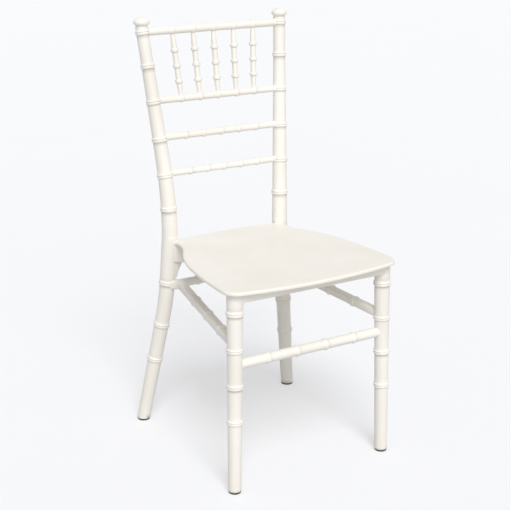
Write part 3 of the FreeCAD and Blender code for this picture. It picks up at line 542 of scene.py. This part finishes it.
def makeSideStretchers():
    look = barLook
    start = Vector(look["sideStart"])
    run = Vector(look["sideSlope"])
    w, h = look["sideSize"][0] / 2.0, look["sideSize"][1] / 2.0
    straight = look["sideStraight"]
    sections = []
    for s, rise in dress(0.0, straight, look["step"], look["sideBands"], look["band"]):
        proud = rise * look["bandProud"]
        sections.append((start + run * s, run, w + proud, h + proud))
    bendStart = start + run * straight
    leg = rearAxis(look["sideEndHeight"])
    startAngle = math.atan2(run.y, run.x)
    turn = math.radians(look["sideTurn"])
    radius = look["sideBend"]
    centre = bendStart + Vector((math.sin(startAngle), -math.cos(startAngle), 0.0)) * radius
    wider, higher = look["sideSwell"]
    for k in range(1, look["sideTurnSteps"] + 1):
        t = k / look["sideTurnSteps"]
        angle = startAngle + turn * t
        middle = centre + Vector((-math.sin(angle), math.cos(angle), 0.0)) * radius
        middle.z = bendStart.z + (leg.z - bendStart.z) * t
        level = Vector((math.cos(angle), math.sin(angle), run.normalized().z * (1.0 - t)))
        sections.append((middle, level, w + wider * t, h + higher * t))
    insetX, insetY = look["sideEndInset"]
    wider, higher = look["sideEndSwell"]
    sections.append((Vector((leg.x - insetX, leg.y - insetY, middle.z)), level, w + wider, h + higher))
    addPair("sideStretcher", barMesh("sideStretcher", sections), "side_stretcher")


def makeRearStretcher():
    look = barLook
    end = rearAxis(look["rearHeight"])
    w, h = look["rearSize"][0] / 2.0, look["rearSize"][1] / 2.0
    inset, across = look["rearInset"], Vector((1.0, 0.0, 0.0))
    sections = []
    for x, rise in dress(-end.x + inset, end.x - inset, look["step"], look["rearBands"], look["band"]):
        proud = rise * look["bandProud"]
        sections.append((Vector((x, end.y - look["rearForward"], end.z)), across, w + proud, h + proud))
    settle(newPiece("rearStretcher", barMesh("rearStretcher", sections)), "rear_stretcher")


makeSideStretchers()
makeRearStretcher()
print("side and rear stretchers made")


# Seat: one moulding, a plate with a rolled rim over a skirt, ribs and the sockets for legs and posts
seatLook = {
    "middle": 0.4397, "tilt": -0.0015,      # height of the sitting face at Y = 0, and its fall per metre back
    "plate": 0.005,
    # outline: bowed front, round corners, sides of two radii, a hollow waist, a hook into the post, bowed rear
    "frontY": -0.2342, "frontBow": 0.024, "halfWidth": 0.2045, "frontCorner": 0.032,
    "sideRadii": (1.000, 0.310), "sideChangeY": -0.030, "waist": (0.1382, 0.1385), "hook": 0.0105,
    "rearY": 0.1653, "rearBow": 0.0075, "rearHalf": 0.1385,
    # rim, rolled down all round
    "faceLoops": (0.0048, 0.0038), "topRoll": (0.0032, 0.0032), "flank": 0.0052, "land": 0.0025, "rimDepth": 0.0080,
    "rimWall": 0.0045,
    # the most that the rim is drawn in near the hidden turn, and where that eases off
    "turnShare": 0.88, "drawnIn": 0.0036, "rearEase": (0.143, 0.010), "hookEase": (0.148, 0.0035),
}


def arcRun(centre, radius, start, end, step, hollow=False):
    # Points of an arc in plan with their outward directions; the last point is left to the next arc
    sweep = end - start
    count = max(2, math.ceil(abs(sweep) * radius / step), math.ceil(abs(sweep) / math.radians(9.0)))
    out = -1.0 if hollow else 1.0
    run = []
    for k in range(count):
        t = start + sweep * k / count
        run.append(((centre[0] + radius * math.cos(t), centre[1] + radius * math.sin(t)),
                    (out * math.cos(t), out * math.sin(t))))
    return run


def halfOutline():
    # The right half of the seat's outline, from the middle of its front round to the middle of its back.
    # The last number of each arc is its longest step.
    look = seatLook
    half = math.pi / 2.0
    frontRadius = (look["halfWidth"] ** 2 + look["frontBow"] ** 2) / (2.0 * look["frontBow"])
    frontMiddle = look["frontY"] + frontRadius
    corner = look["frontCorner"]
    cx = look["halfWidth"] - corner
    cy = frontMiddle - math.sqrt((frontRadius - corner) ** 2 - cx ** 2)
    lean = math.atan2(cy - frontMiddle, cx)
    run = arcRun((0.0, frontMiddle), frontRadius, -half, lean, 0.006)
    run += arcRun((cx, cy), corner, lean, 0.0, 0.004)
    first, second = look["sideRadii"]
    endX, endY = look["waist"]
    changeY = look["sideChangeY"]
    a = math.asin((changeY - cy) / first)
    changeX = look["halfWidth"] - first * (1.0 - math.cos(a))
    across = endY - changeY + second * math.sin(a)
    inward = changeX - endX + second * (1.0 - math.cos(a))
    b = 2.0 * math.atan2(inward, across)
    hollow = across / math.sin(b) - second
    run += arcRun((look["halfWidth"] - first, cy), first, 0.0, a, 0.006)
    run += arcRun((changeX - second * math.cos(a), changeY - second * math.sin(a)), second, a, b, 0.004)
    run += arcRun((endX + hollow, endY), hollow, math.pi + b, math.pi, 0.003, True)
    hook = look["hook"]
    run += arcRun((endX + hook, endY), hook, math.pi, half, 0.001, True)
    # a small turn, out of sight inside the rear socket, joins the hook to the rear edge
    rearRadius = (look["rearHalf"] ** 2 + look["rearBow"] ** 2) / (2.0 * look["rearBow"])
    rearMiddle = look["rearY"] - rearRadius
    tx, ty = endX + hook, endY + hook
    gap = ty - rearMiddle
    turn = (rearRadius ** 2 - tx ** 2 - gap ** 2) / (2.0 * (gap + rearRadius))
    meet = math.atan2(ty + turn - rearMiddle, tx)
    run += arcRun((tx, ty + turn), turn, -half, meet, 0.0008)
    run += arcRun((0.0, rearMiddle), rearRadius, meet, half, 0.006)
    run.append(((0.0, look["rearY"]), (0.0, 1.0)))
    return run, turn


def smoothStep(value, low, high):
    t = min(1.0, max(0.0, (value - low) / (high - low)))
    return t * t * (3.0 - 2.0 * t)


def seatRim():
    # Every point of the outline: place, outward direction, and how far it may be drawn in
    look = seatLook
    half, turn = halfOutline()
    hidden = look["turnShare"] * turn
    rim = []
    for (x, y), (nx, ny) in half:
        facesBack = ny > 0.5
        start, width = look["rearEase"] if facesBack else look["hookEase"]
        room = hidden + look["drawnIn"] * smoothStep(start - (x if facesBack else y), 0.0, width)
        rim.append((Vector((x, y)), Vector((nx, ny)), room))
    other = [(Vector((-p.x, p.y)), Vector((-n.x, n.y)), room) for p, n, room in rim[-2:0:-1]]
    return rim + other


def rimProfile():
    # Inset and drop of each loop, from the sitting face over the rolled edge and back up inside
    look = seatLook
    profile = [(inset, 0.0) for inset in look["faceLoops"]]
    rollIn, rollDown = look["topRoll"]
    for k in range(7):
        t = math.radians(15.0 * k)
        profile.append((rollIn * (1.0 - math.sin(t)), rollDown * (1.0 - math.cos(t))))
    flank, depth = look["flank"], look["rimDepth"]
    inward = look["rimWall"] - look["land"]
    for k in range(8):
        t = math.radians(90.0 * k / 7.0)
        profile.append((inward * (1.0 - math.cos(t)), flank + (depth - flank) * math.sin(t)))
    profile += [(look["rimWall"], depth), (look["rimWall"] + 0.0001, look["plate"])]
    return profile


def seatPlate():
    look = seatLook
    rim = seatRim()
    loops = []
    for inset, drop in rimProfile():
        loop = []
        for place, out, room in rim:
            p = place - out * min(inset, room)
            loop.append((p.x, p.y, look["middle"] - look["tilt"] * p.y - drop))
        loops.append(loop)
    return loftMesh("seatPlate", loops)


# Under the plate: a skirt of walls, ribs, and webs that blend the front sockets to the skirt
wallLook = {
    "thick": 0.0045, "top": 0.4370, "ease": 0.0006,
    "frontY": -0.2017, "frontAt": 0.4405, "frontInset": 0.004, "frontRise": 0.0015, "frontLow": 0.412,
    "sideFrontX": 0.1528, "sideRear": (0.1218, 0.1280), "sideSpan": (0.0, 0.98, 0.07), "sideLow": 0.392,
    "ear": (0.1440, 0.1275, 0.02225), "earSpan": (0.06, math.pi / 2.0, 0.12), "earPast": 0.003,
    "rearAt": 0.420, "rearInset": 0.0132, "rearLow": 0.400, "archPast": 0.008, "archSteps": 14,
    "arch": ((0.1060, 0.400), (0.1232, 0.379), (0.1326, 0.3535)),
    "ribs": (-0.095, 0.0, 0.095), "crossRibs": (-0.085, 0.040), "rib": 0.003, "ribDepth": 0.014, "ribEase": 0.0004,
    "ribEnds": (0.001, 0.002), "ribLows": (0.0036, -0.0028), "ribDrop": 0.0002, "crossDrop": 0.0004,
    "webAt": 0.425, "webStart": (0.002, 0.0002), "webMiddle": (0.0135, 0.0152), "webEnd": (0.031, 0.0022),
    "webBack": 0.001, "webSteps": 12,
}


def stripWall(name, path, thick, top, bottoms, ease):
    # Upright wall that follows a path in plan; its lower edge has its own height at each point
    loops = []
    for k, (x, y) in enumerate(path):
        a, b = path[max(0, k - 1)], path[min(len(path) - 1, k + 1)]
        along = Vector((b[0] - a[0], b[1] - a[1])).normalized()
        side = Vector((-along.y, along.x)) * (thick / 2.0)
        loops.append([(x + sign * side.x, y + sign * side.y, z)
                      for sign, z in ((1, bottoms[k]), (1, top), (-1, top), (-1, bottoms[k]))])
    return loftMesh(name, loops, ease)


def throughThree(a, b, c, count):
    # Points of the arc from a over b to c
    ax, ay = a
    bx, by = b
    cx, cy = c
    d = 2.0 * (ax * (by - cy) + bx * (cy - ay) + cx * (ay - by))
    aa, bb, cc = ax * ax + ay * ay, bx * bx + by * by, cx * cx + cy * cy
    ux = (aa * (by - cy) + bb * (cy - ay) + cc * (ay - by)) / d
    uy = (aa * (cx - bx) + bb * (ax - cx) + cc * (bx - ax)) / d
    radius = math.hypot(ax - ux, ay - uy)
    start = math.atan2(ay - uy, ax - ux)
    end = math.atan2(cy - uy, cx - ux)
    sweep = (end - start + math.pi) % (2.0 * math.pi) - math.pi
    return [(ux + radius * math.cos(start + sweep * k / count), uy + radius * math.sin(start + sweep * k / count))
            for k in range(count + 1)]


def seatWalls():
    # Returns the walls that stand once, and those of the right side that are mirrored
    look = wallLook
    frontY, thick, top, ease = look["frontY"], look["thick"], look["top"], look["ease"]
    single = []
    reach = frontAxis(look["frontAt"]).x - look["frontInset"]
    single.append(stripWall("frontWall", [(-reach, frontY), (reach, frontY)], thick, top + look["frontRise"],
                            [look["frontLow"]] * 2, ease))
    # the side wall runs on as a hollow quarter round to the front of the rear socket
    a, b = (look["sideFrontX"], frontY), look["sideRear"]
    path = [(a[0] + (b[0] - a[0]) * t, a[1] + (b[1] - a[1]) * t) for t in spread(*look["sideSpan"])]
    ex, ey, er = look["ear"]
    path += [(ex - er * math.cos(t), ey + er * math.sin(t)) for t in spread(*look["earSpan"])]
    path.append((ex + look["earPast"], ey + er))
    lows = []
    for x, y in path:
        t = min(1.0, max(0.0, (y - a[1]) / (b[1] - a[1])))
        lows.append(look["frontLow"] + (look["sideLow"] - look["frontLow"]) * t)
    side = stripWall("sideWall", path, thick, top, lows, ease)
    # rear wall, swept down the sockets in an arch
    socket = rearAxis(look["rearAt"])
    rearY = socket.y - look["rearInset"]
    arch = throughThree(*look["arch"], look["archSteps"])
    foot = arch[-1]
    outline = arch + [(foot[0] + look["archPast"], foot[1]), (socket.x, look["rearLow"]), (socket.x, top)]
    outline += [(-x, z) for x, z in reversed(outline)]
    single.append(loftMesh("rearWall", [[(x, y, z) for x, z in outline] for y in (rearY, rearY + thick)], ease))
    # ribs from front to back, then across
    under = seatLook["middle"] - seatLook["plate"] - look["ribDepth"]
    past, short = look["ribEnds"]
    for x in look["ribs"]:
        single.append(stripWall("rib", [(x, frontY + past), (x, rearY + short)], look["rib"], top - look["ribDrop"],
                                [under + low for low in look["ribLows"]], look["ribEase"]))
    for y in look["crossRibs"]:
        t = (y - frontY) / (b[1] - frontY)
        out = a[0] + (b[0] - a[0]) * t
        single.append(stripWall("crossRib", [(-out, y), (out, y)], look["rib"], top - look["crossDrop"],
                                [under - y * seatLook["tilt"]] * 2, look["ribEase"]))
    # webs that blend the front sockets to the front wall
    c = frontAxis(look["webAt"])
    start, middle, end = look["webStart"], look["webMiddle"], look["webEnd"]
    web = throughThree((c.x - start[0], c.y - limbLook["frontRadii"][1] - start[1]),
                       (c.x - middle[0], c.y - middle[1]), (c.x - end[0], frontY - end[1]), look["webSteps"])
    web += [(c.x - end[0], frontY + look["webBack"]), (c.x - start[0], c.y)]
    webMesh = loftMesh("web", [[(x, y, z) for x, y in web] for z in (look["frontLow"], top)], ease)
    return single, [side, webMesh]


# Sockets, slightly wider than the limbs they take, with a recess for each locking screw
socketLook = {"front": (0.0165, 0.0173), "frontTop": 0.4380, "rear": (0.0175, 0.0175), "ease": 0.0004, "past": 0.003,
              "step": 0.01, "screws": ((0.418, "front"), (0.372, "rear"), (0.414, "rear")), "screwSeat": 0.0152,
              "recess": 0.0059, "recessAt": (0.0, 0.006, 0.0188)}


def socketMesh(name, axis, low, high, radii):
    # Round socket, cut level at both ends, its end edges eased so that each seam shows as a hairline
    ease, past, step = socketLook["ease"], socketLook["past"], socketLook["step"]
    near, far = ease * 0.4, ease * 1.2
    stations = [(axis(low - past), radii[0] - ease)]
    heights = [low, low + near, low + far] + spread(low + step, high - step, step) + [high - far, high - near, high]
    for z in heights:
        gap = min(z - low, high - z)
        soft = ease * max(0.0, 1.0 - gap / far) ** 2
        stations.append((axis(z), blend(radii, z, low, high) - soft))
    stations.append((axis(high + past), radii[1] - ease))
    mesh = turnedMesh(name, stations, 64)
    trimLevel(mesh, low, True)
    trimLevel(mesh, high, False)
    return mesh


def recessMesh(point, heading):
    # Round recess that lets a screw's head down into a socket
    look = socketLook
    start = point + heading * look["screwSeat"]
    return turnedMesh("recess", [(start + heading * d, look["recess"]) for d in look["recessAt"]], 32)


def joinShapes(name, base, added, cut):
    # Boolean union and difference, kept as one plain mesh
    host = newPiece(name, base)
    tools = []
    for operation, meshes in (("UNION", added), ("DIFFERENCE", cut)):
        for mesh in meshes:
            tool = newPiece(mesh.name + "Tool", mesh)
            tools.append(tool)
            modifier = host.modifiers.new(operation.lower(), "BOOLEAN")
            modifier.operation = operation
            modifier.solver = "MANIFOLD"
            modifier.object = tool
    graph = bpy.context.evaluated_depsgraph_get()
    mesh = bpy.data.meshes.new_from_object(host.evaluated_get(graph))
    for item in tools + [host]:
        bpy.data.objects.remove(item)
    form = bmesh.new()
    form.from_mesh(mesh)
    bmesh.ops.remove_doubles(form, verts=form.verts, dist=2e-6)
    bmesh.ops.dissolve_degenerate(form, edges=form.edges, dist=1e-6)
    loose = sum(1 for edge in form.edges if not edge.is_manifold)
    print(name, "faces:", len(form.faces), "open edges:", loose, "volume cm3:", round(form.calc_volume() * 1e6, 1))
    return finishForm(form, name)


def makeSeat():
    look = socketLook
    parts, paired = seatWalls()
    paired.append(socketMesh("frontSocket", frontAxis, frontLine["shoulder"], look["frontTop"], look["front"]))
    paired.append(socketMesh("rearSocket", rearAxis, rearLine["socketLow"], rearLine["socketTop"], look["rear"]))
    for mesh in paired:
        parts += [mesh, mirrorMesh(mesh, mesh.name + "Left")]
    cuts = []
    for z, end in look["screws"]:
        point = frontAxis(z) if end == "front" else rearAxis(z)
        heading = Vector((0.0, 1.0, 0.0)) if end == "front" else Vector((-1.0, 0.0, 0.0))
        recess = recessMesh(point, heading)
        cuts += [recess, mirrorMesh(recess, "recessLeft")]
    settle(newPiece("seat", joinShapes("seat", seatPlate(), parts, cuts)), "seat")


makeSeat()
print("seat made")


# Floor, light and camera. Painted studio floor: plain matt grey, barely mottled by the roller.
stageLook = {"floor": "C2C3C6", "floorShade": "C0C1C4", "mottle": 1.5, "roughness": 0.85, "floorGlow": 0.405,
             "size": 40.0, "worldLight": 0.45, "backdrop": "F5F5F7"}
# For each lamp the direction towards it, its strength and its softness in degrees
lampLook = {"keyPanel": ((-0.25, -0.73, 1.0), 1.68, 24), "frontPanel": ((-0.25, -1.0, 0.45), 0.68, 40)}
# Heading, tilt and roll in degrees
cameraLook = {"lens": 83.66, "sensor": 36.0, "place": (-1.2477, -2.0798, 1.2151), "turn": (-30.53, 71.98, -0.095)}


def seenRays(tree):
    # 1 for rays from the camera, from gloss and through clear things, which see the pale background
    ray = addNode(tree, "ShaderNodeLightPath")
    two = addNode(tree, "ShaderNodeMath", operation="MAXIMUM",
                  links={0: ray.outputs["Is Camera Ray"], 1: ray.outputs["Is Glossy Ray"]})
    return addNode(tree, "ShaderNodeMath", operation="MAXIMUM",
                   links={0: two.outputs[0], 1: ray.outputs["Is Transmission Ray"]}).outputs[0]


def makeStage():
    look = stageLook
    half = look["size"] / 2.0
    mesh = bpy.data.meshes.new("floor")
    mesh.from_pydata([(-half, -half, 0), (half, -half, 0), (half, half, 0), (-half, half, 0)], [], [(0, 1, 2, 3)])
    floor = bpy.data.objects.new("floor", mesh)
    bpy.context.scene.collection.objects.link(floor)
    material, tree, shader, place = startMaterial("paintedStudioFloor")
    mottle = addNode(tree, "ShaderNodeTexNoise", {"Scale": look["mottle"], "Detail": 2.0}, {"Vector": place})
    colour = addNode(tree, "ShaderNodeMix", data_type="RGBA")
    colour.inputs[6].default_value = toLinear(look["floorShade"])
    colour.inputs[7].default_value = toLinear(look["floor"])
    tree.links.new(mottle.outputs["Fac"], colour.inputs[0])
    tree.links.new(colour.outputs[2], shader.inputs["Base Color"])
    shader.inputs["Roughness"].default_value = look["roughness"]
    # what the eye sees is a white floor; what lights the chair from below is the plainer grey one
    glow = addNode(tree, "ShaderNodeEmission", {"Color": (1, 1, 1, 1), "Strength": look["floorGlow"]})
    dark = addNode(tree, "ShaderNodeEmission", {"Color": (0, 0, 0, 1), "Strength": 0.0})
    lit = addNode(tree, "ShaderNodeMixShader", links={0: seenRays(tree), 1: dark.outputs[0], 2: glow.outputs[0]})
    both = addNode(tree, "ShaderNodeAddShader", links={0: shader.outputs["BSDF"], 1: lit.outputs[0]})
    out = [node for node in tree.nodes if node.type == "OUTPUT_MATERIAL"][0]
    tree.links.new(both.outputs[0], out.inputs["Surface"])
    mesh.materials.append(material)

    world = bpy.data.worlds.new("studio")
    bpy.context.scene.world = world
    world.use_nodes = True
    tree = world.node_tree
    tree.nodes.clear()
    light = addNode(tree, "ShaderNodeBackground", {"Color": (1, 1, 1, 1), "Strength": look["worldLight"]})
    shown = addNode(tree, "ShaderNodeBackground", {"Color": toLinear(look["backdrop"]), "Strength": 1.0})
    mix = addNode(tree, "ShaderNodeMixShader", links={0: seenRays(tree), 1: light.outputs[0], 2: shown.outputs[0]})
    addNode(tree, "ShaderNodeOutputWorld", links={"Surface": mix.outputs[0]})


def addSun(name, towards, strength, softness):
    data = bpy.data.lights.new(name, "SUN")
    data.energy = strength
    data.angle = math.radians(softness)
    lamp = bpy.data.objects.new(name, data)
    lamp.rotation_euler = Vector(towards).to_track_quat("Z", "Y").to_euler()
    bpy.context.scene.collection.objects.link(lamp)


def makeCamera():
    look = cameraLook
    data = bpy.data.cameras.new("view")
    data.lens = look["lens"]
    data.sensor_width = look["sensor"]
    camera = bpy.data.objects.new("view", data)
    heading, tilt, roll = (math.radians(degrees) for degrees in look["turn"])
    turn = Matrix.Rotation(heading, 4, "Z") @ Matrix.Rotation(tilt, 4, "X") @ Matrix.Rotation(roll, 4, "Z")
    camera.matrix_world = Matrix.Translation(look["place"]) @ turn
    bpy.context.scene.collection.objects.link(camera)
    bpy.context.scene.camera = camera


makeStage()
for lamp, (towards, strength, softness) in lampLook.items():
    addSun(lamp, towards, strength, softness)
makeCamera()
bpy.context.scene.view_settings.view_transform = "Standard"
print("stage, lamps and camera set")
